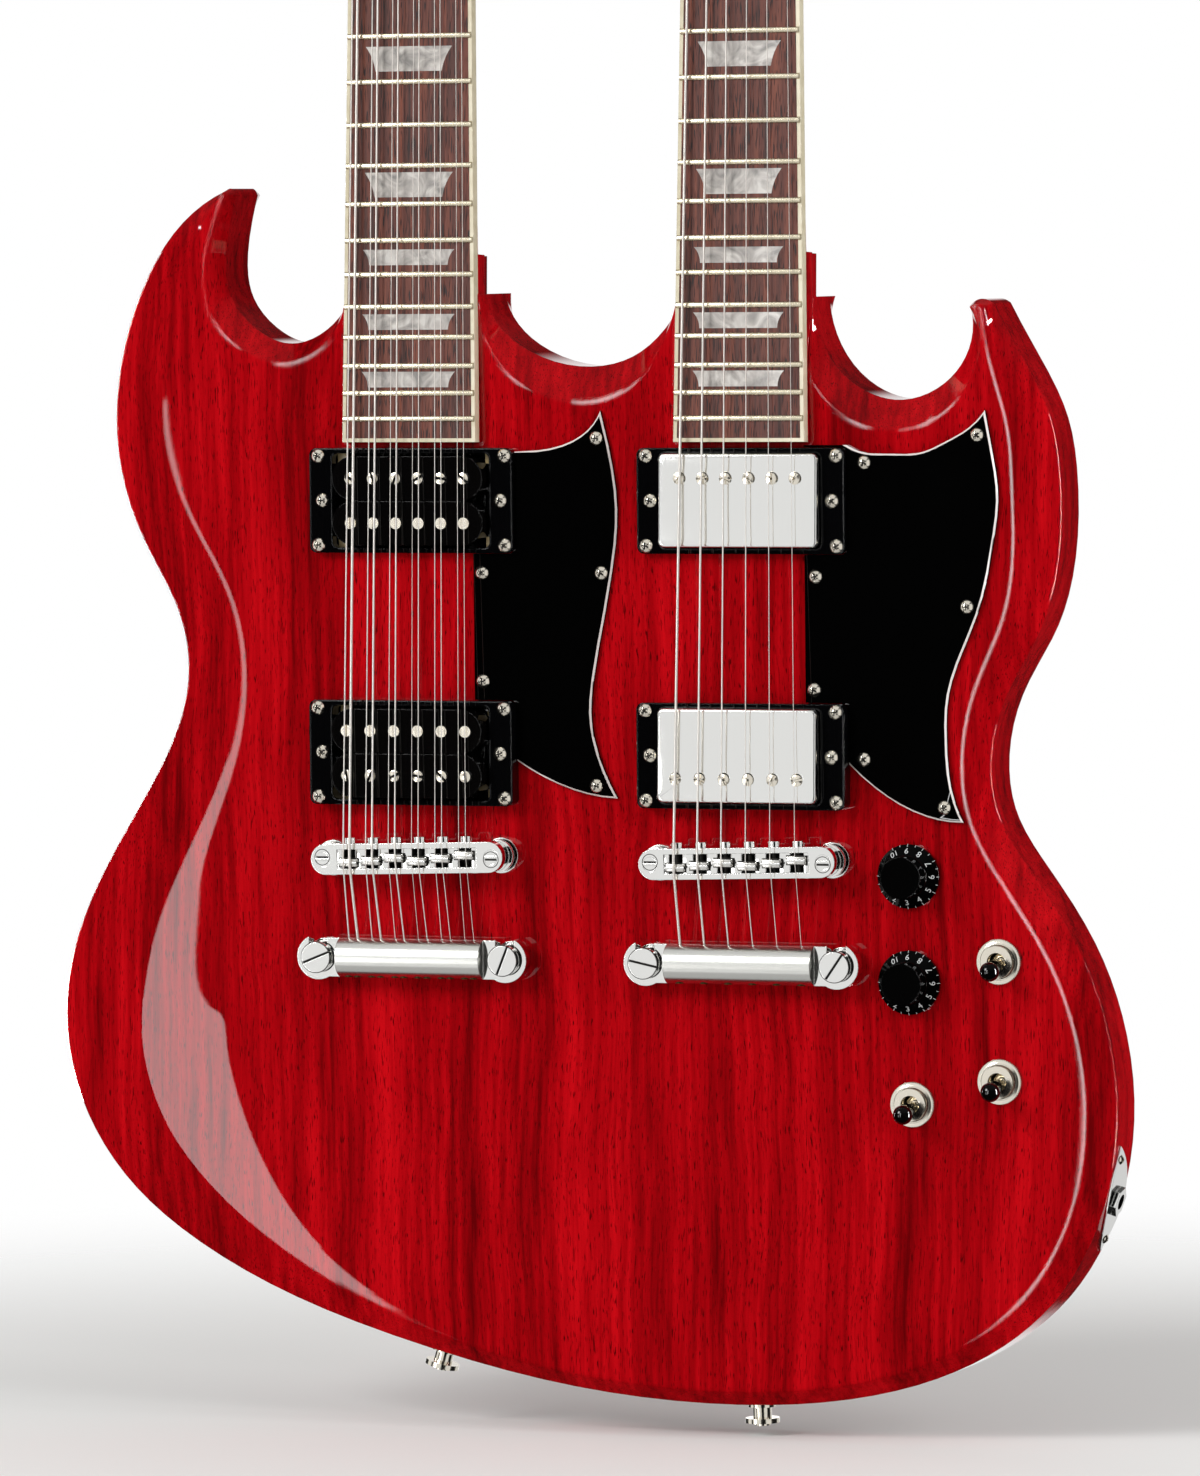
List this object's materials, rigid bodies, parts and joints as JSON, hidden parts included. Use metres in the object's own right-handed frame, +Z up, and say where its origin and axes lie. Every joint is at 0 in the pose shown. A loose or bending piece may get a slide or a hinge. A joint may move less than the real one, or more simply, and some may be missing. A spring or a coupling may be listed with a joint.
{
  "type": "double-neck electric guitar",
  "caption": "Solid red double-cutaway electric guitar with a twelve-string and a six-string neck side by side, hung upright.",
  "frame": {"origin": "on the 12-string neck's centre line at the level of both nuts, in the plane of the body's flat front, where a wall hanger carries the guitar", "axes": "+Z up along the necks towards the headstocks, +X to the right as seen from the front, front faces -Y"},
  "size_m": [0.4588, 0.1093, 1.057],
  "materials": {
    "red_mahogany": "translucent cherry red high gloss over mahogany",
    "rosewood": "oiled open-pored rosewood",
    "cream_binding": "cream celluloid, polished flush",
    "fret_nickel": "polished nickel silver",
    "pearloid": "swirled pearl, polished",
    "bone": "satin bone",
    "black_gloss": "polished black",
    "black_ring": "moulded glossy black",
    "black_coil": "black bobbins with steel poles",
    "chrome_plate": "bright plating",
    "nickel_screws": "bright nickel",
    "string_steel": "plain and wound steel",
    "tuner_chrome": "bright plating",
    "knob_black": "clear-coated black",
    "lever_black": "nickel stem with black tip",
    "electrics_nickel": "nickel nuts, plate and cases"
  },
  "bodies": {
    "guitar": {"body": "red_mahogany", "neck_twelve": "red_mahogany", "neck_six": "red_mahogany", "fingerboards": "rosewood", "fingerboard_bindings": "cream_binding", "frets": "fret_nickel", "inlays": "pearloid", "nuts": "bone", "pickguards_and_covers": "black_gloss", "pickup_rings": "black_ring", "pickup_coils": "black_coil", "pickup_covers": "chrome_plate", "bridges": "chrome_plate", "tailpieces": "chrome_plate", "strings": "string_steel", "tuner_housings": "tuner_chrome", "screws": "nickel_screws", "strap_buttons": "nickel_screws", "electrics": "electrics_nickel"},
    "twelve_key_1": {"twelve_key_1": "tuner_chrome"},
    "twelve_post_1": {"twelve_post_1": "tuner_chrome"},
    "twelve_key_2": {"twelve_key_2": "tuner_chrome"},
    "twelve_post_2": {"twelve_post_2": "tuner_chrome"},
    "twelve_key_3": {"twelve_key_3": "tuner_chrome"},
    "twelve_post_3": {"twelve_post_3": "tuner_chrome"},
    "twelve_key_4": {"twelve_key_4": "tuner_chrome"},
    "twelve_post_4": {"twelve_post_4": "tuner_chrome"},
    "twelve_key_5": {"twelve_key_5": "tuner_chrome"},
    "twelve_post_5": {"twelve_post_5": "tuner_chrome"},
    "twelve_key_6": {"twelve_key_6": "tuner_chrome"},
    "twelve_post_6": {"twelve_post_6": "tuner_chrome"},
    "twelve_key_7": {"twelve_key_7": "tuner_chrome"},
    "twelve_post_7": {"twelve_post_7": "tuner_chrome"},
    "twelve_key_8": {"twelve_key_8": "tuner_chrome"},
    "twelve_post_8": {"twelve_post_8": "tuner_chrome"},
    "twelve_key_9": {"twelve_key_9": "tuner_chrome"},
    "twelve_post_9": {"twelve_post_9": "tuner_chrome"},
    "twelve_key_10": {"twelve_key_10": "tuner_chrome"},
    "twelve_post_10": {"twelve_post_10": "tuner_chrome"},
    "twelve_key_11": {"twelve_key_11": "tuner_chrome"},
    "twelve_post_11": {"twelve_post_11": "tuner_chrome"},
    "twelve_key_12": {"twelve_key_12": "tuner_chrome"},
    "twelve_post_12": {"twelve_post_12": "tuner_chrome"},
    "six_key_1": {"six_key_1": "tuner_chrome"},
    "six_post_1": {"six_post_1": "tuner_chrome"},
    "six_key_2": {"six_key_2": "tuner_chrome"},
    "six_post_2": {"six_post_2": "tuner_chrome"},
    "six_key_3": {"six_key_3": "tuner_chrome"},
    "six_post_3": {"six_post_3": "tuner_chrome"},
    "six_key_4": {"six_key_4": "tuner_chrome"},
    "six_post_4": {"six_post_4": "tuner_chrome"},
    "six_key_5": {"six_key_5": "tuner_chrome"},
    "six_post_5": {"six_post_5": "tuner_chrome"},
    "six_key_6": {"six_key_6": "tuner_chrome"},
    "six_post_6": {"six_post_6": "tuner_chrome"},
    "volume_knob": {"volume_knob": "knob_black"},
    "tone_knob": {"tone_knob": "knob_black"},
    "neck_selector_lever": {"neck_selector_lever": "lever_black"},
    "six_pickup_lever": {"six_pickup_lever": "lever_black"},
    "twelve_pickup_lever": {"twelve_pickup_lever": "lever_black"}
  },
  "joints": [
    {"name": "twelve_key_1_turn", "type": "hinge", "parent": "guitar", "child": "twelve_key_1", "pos_m": [-0.027, 0.04237, 0.02399], "axis": [-1, 0, 0], "continuous": true},
    {"name": "twelve_post_1_turn", "type": "hinge", "parent": "guitar", "child": "twelve_post_1", "pos_m": [-0.027, 0.02526, 0.03729], "axis": [0, -0.956, 0.2932], "continuous": true},
    {"name": "twelve_key_2_turn", "type": "hinge", "parent": "guitar", "child": "twelve_key_2", "pos_m": [-0.027, 0.05028, 0.0498], "axis": [-1, 0, 0], "continuous": true},
    {"name": "twelve_post_2_turn", "type": "hinge", "parent": "guitar", "child": "twelve_post_2", "pos_m": [-0.027, 0.03318, 0.0631], "axis": [0, -0.956, 0.2932], "continuous": true},
    {"name": "twelve_key_3_turn", "type": "hinge", "parent": "guitar", "child": "twelve_key_3", "pos_m": [-0.027, 0.0582, 0.07562], "axis": [-1, 0, 0], "continuous": true},
    {"name": "twelve_post_3_turn", "type": "hinge", "parent": "guitar", "child": "twelve_post_3", "pos_m": [-0.027, 0.0411, 0.08891], "axis": [0, -0.956, 0.2932], "continuous": true},
    {"name": "twelve_key_4_turn", "type": "hinge", "parent": "guitar", "child": "twelve_key_4", "pos_m": [-0.027, 0.06612, 0.10143], "axis": [-1, 0, 0], "continuous": true},
    {"name": "twelve_post_4_turn", "type": "hinge", "parent": "guitar", "child": "twelve_post_4", "pos_m": [-0.027, 0.04902, 0.11473], "axis": [0, -0.956, 0.2932], "continuous": true},
    {"name": "twelve_key_5_turn", "type": "hinge", "parent": "guitar", "child": "twelve_key_5", "pos_m": [-0.027, 0.07403, 0.12724], "axis": [-1, 0, 0], "continuous": true},
    {"name": "twelve_post_5_turn", "type": "hinge", "parent": "guitar", "child": "twelve_post_5", "pos_m": [-0.027, 0.05693, 0.14054], "axis": [0, -0.956, 0.2932], "continuous": true},
    {"name": "twelve_key_6_turn", "type": "hinge", "parent": "guitar", "child": "twelve_key_6", "pos_m": [-0.027, 0.08195, 0.15305], "axis": [-1, 0, 0], "continuous": true},
    {"name": "twelve_post_6_turn", "type": "hinge", "parent": "guitar", "child": "twelve_post_6", "pos_m": [-0.027, 0.06485, 0.16635], "axis": [0, -0.956, 0.2932], "continuous": true},
    {"name": "twelve_key_7_turn", "type": "hinge", "parent": "guitar", "child": "twelve_key_7", "pos_m": [0.027, 0.08195, 0.15305], "axis": [1, 0, 0], "continuous": true},
    {"name": "twelve_post_7_turn", "type": "hinge", "parent": "guitar", "child": "twelve_post_7", "pos_m": [0.027, 0.06485, 0.16635], "axis": [0, -0.956, 0.2932], "continuous": true},
    {"name": "twelve_key_8_turn", "type": "hinge", "parent": "guitar", "child": "twelve_key_8", "pos_m": [0.027, 0.07403, 0.12724], "axis": [1, 0, 0], "continuous": true},
    {"name": "twelve_post_8_turn", "type": "hinge", "parent": "guitar", "child": "twelve_post_8", "pos_m": [0.027, 0.05693, 0.14054], "axis": [0, -0.956, 0.2932], "continuous": true},
    {"name": "twelve_key_9_turn", "type": "hinge", "parent": "guitar", "child": "twelve_key_9", "pos_m": [0.027, 0.06612, 0.10143], "axis": [1, 0, 0], "continuous": true},
    {"name": "twelve_post_9_turn", "type": "hinge", "parent": "guitar", "child": "twelve_post_9", "pos_m": [0.027, 0.04902, 0.11473], "axis": [0, -0.956, 0.2932], "continuous": true},
    {"name": "twelve_key_10_turn", "type": "hinge", "parent": "guitar", "child": "twelve_key_10", "pos_m": [0.027, 0.0582, 0.07562], "axis": [1, 0, 0], "continuous": true},
    {"name": "twelve_post_10_turn", "type": "hinge", "parent": "guitar", "child": "twelve_post_10", "pos_m": [0.027, 0.0411, 0.08891], "axis": [0, -0.956, 0.2932], "continuous": true},
    {"name": "twelve_key_11_turn", "type": "hinge", "parent": "guitar", "child": "twelve_key_11", "pos_m": [0.027, 0.05028, 0.0498], "axis": [1, 0, 0], "continuous": true},
    {"name": "twelve_post_11_turn", "type": "hinge", "parent": "guitar", "child": "twelve_post_11", "pos_m": [0.027, 0.03318, 0.0631], "axis": [0, -0.956, 0.2932], "continuous": true},
    {"name": "twelve_key_12_turn", "type": "hinge", "parent": "guitar", "child": "twelve_key_12", "pos_m": [0.027, 0.04237, 0.02399], "axis": [1, 0, 0], "continuous": true},
    {"name": "twelve_post_12_turn", "type": "hinge", "parent": "guitar", "child": "twelve_post_12", "pos_m": [0.027, 0.02526, 0.03729], "axis": [0, -0.956, 0.2932], "continuous": true},
    {"name": "six_key_1_turn", "type": "hinge", "parent": "guitar", "child": "six_key_1", "pos_m": [0.116, 0.04471, 0.03164], "axis": [-1, 0, 0], "continuous": true},
    {"name": "six_post_1_turn", "type": "hinge", "parent": "guitar", "child": "six_post_1", "pos_m": [0.116, 0.02761, 0.04494], "axis": [0, -0.956, 0.2932], "continuous": true},
    {"name": "six_key_2_turn", "type": "hinge", "parent": "guitar", "child": "six_key_2", "pos_m": [0.116, 0.05586, 0.06797], "axis": [-1, 0, 0], "continuous": true},
    {"name": "six_post_2_turn", "type": "hinge", "parent": "guitar", "child": "six_post_2", "pos_m": [0.116, 0.03875, 0.08127], "axis": [0, -0.956, 0.2932], "continuous": true},
    {"name": "six_key_3_turn", "type": "hinge", "parent": "guitar", "child": "six_key_3", "pos_m": [0.116, 0.067, 0.1043], "axis": [-1, 0, 0], "continuous": true},
    {"name": "six_post_3_turn", "type": "hinge", "parent": "guitar", "child": "six_post_3", "pos_m": [0.116, 0.04989, 0.1176], "axis": [0, -0.956, 0.2932], "continuous": true},
    {"name": "six_key_4_turn", "type": "hinge", "parent": "guitar", "child": "six_key_4", "pos_m": [0.17, 0.067, 0.1043], "axis": [1, 0, 0], "continuous": true},
    {"name": "six_post_4_turn", "type": "hinge", "parent": "guitar", "child": "six_post_4", "pos_m": [0.17, 0.04989, 0.1176], "axis": [0, -0.956, 0.2932], "continuous": true},
    {"name": "six_key_5_turn", "type": "hinge", "parent": "guitar", "child": "six_key_5", "pos_m": [0.17, 0.05586, 0.06797], "axis": [1, 0, 0], "continuous": true},
    {"name": "six_post_5_turn", "type": "hinge", "parent": "guitar", "child": "six_post_5", "pos_m": [0.17, 0.03875, 0.08127], "axis": [0, -0.956, 0.2932], "continuous": true},
    {"name": "six_key_6_turn", "type": "hinge", "parent": "guitar", "child": "six_key_6", "pos_m": [0.17, 0.04471, 0.03164], "axis": [1, 0, 0], "continuous": true},
    {"name": "six_post_6_turn", "type": "hinge", "parent": "guitar", "child": "six_post_6", "pos_m": [0.17, 0.02761, 0.04494], "axis": [0, -0.956, 0.2932], "continuous": true},
    {"name": "volume_knob_turn", "type": "hinge", "parent": "guitar", "child": "volume_knob", "pos_m": [0.2125, 0, -0.637], "axis": [0, -1, 0], "range_deg": [0, 280]},
    {"name": "tone_knob_turn", "type": "hinge", "parent": "guitar", "child": "tone_knob", "pos_m": [0.2125, 0, -0.68], "axis": [0, -1, 0], "range_deg": [0, 280]},
    {"name": "neck_selector_lever_tilt", "type": "hinge", "parent": "guitar", "child": "neck_selector_lever", "pos_m": [0.25002, 0.004, -0.671], "axis": [-1, 0, 0], "range_deg": [0, 20]},
    {"name": "six_pickup_lever_tilt", "type": "hinge", "parent": "guitar", "child": "six_pickup_lever", "pos_m": [0.25002, 0.004, -0.7195], "axis": [-1, 0, 0], "range_deg": [0, 20]},
    {"name": "twelve_pickup_lever_tilt", "type": "hinge", "parent": "guitar", "child": "twelve_pickup_lever", "pos_m": [0.213, 0.004, -0.7295], "axis": [-1, 0, 0], "range_deg": [0, 20]}
  ],
  "couplings": [
    {"joint": "twelve_post_1_turn", "follows": "twelve_key_1_turn", "ratio": 0.071429},
    {"joint": "twelve_post_2_turn", "follows": "twelve_key_2_turn", "ratio": 0.071429},
    {"joint": "twelve_post_3_turn", "follows": "twelve_key_3_turn", "ratio": 0.071429},
    {"joint": "twelve_post_4_turn", "follows": "twelve_key_4_turn", "ratio": 0.071429},
    {"joint": "twelve_post_5_turn", "follows": "twelve_key_5_turn", "ratio": 0.071429},
    {"joint": "twelve_post_6_turn", "follows": "twelve_key_6_turn", "ratio": 0.071429},
    {"joint": "twelve_post_7_turn", "follows": "twelve_key_7_turn", "ratio": -0.071429},
    {"joint": "twelve_post_8_turn", "follows": "twelve_key_8_turn", "ratio": -0.071429},
    {"joint": "twelve_post_9_turn", "follows": "twelve_key_9_turn", "ratio": -0.071429},
    {"joint": "twelve_post_10_turn", "follows": "twelve_key_10_turn", "ratio": -0.071429},
    {"joint": "twelve_post_11_turn", "follows": "twelve_key_11_turn", "ratio": -0.071429},
    {"joint": "twelve_post_12_turn", "follows": "twelve_key_12_turn", "ratio": -0.071429},
    {"joint": "six_post_1_turn", "follows": "six_key_1_turn", "ratio": 0.071429},
    {"joint": "six_post_2_turn", "follows": "six_key_2_turn", "ratio": 0.071429},
    {"joint": "six_post_3_turn", "follows": "six_key_3_turn", "ratio": 0.071429},
    {"joint": "six_post_4_turn", "follows": "six_key_4_turn", "ratio": -0.071429},
    {"joint": "six_post_5_turn", "follows": "six_key_5_turn", "ratio": -0.071429},
    {"joint": "six_post_6_turn", "follows": "six_key_6_turn", "ratio": -0.071429}
  ]
}
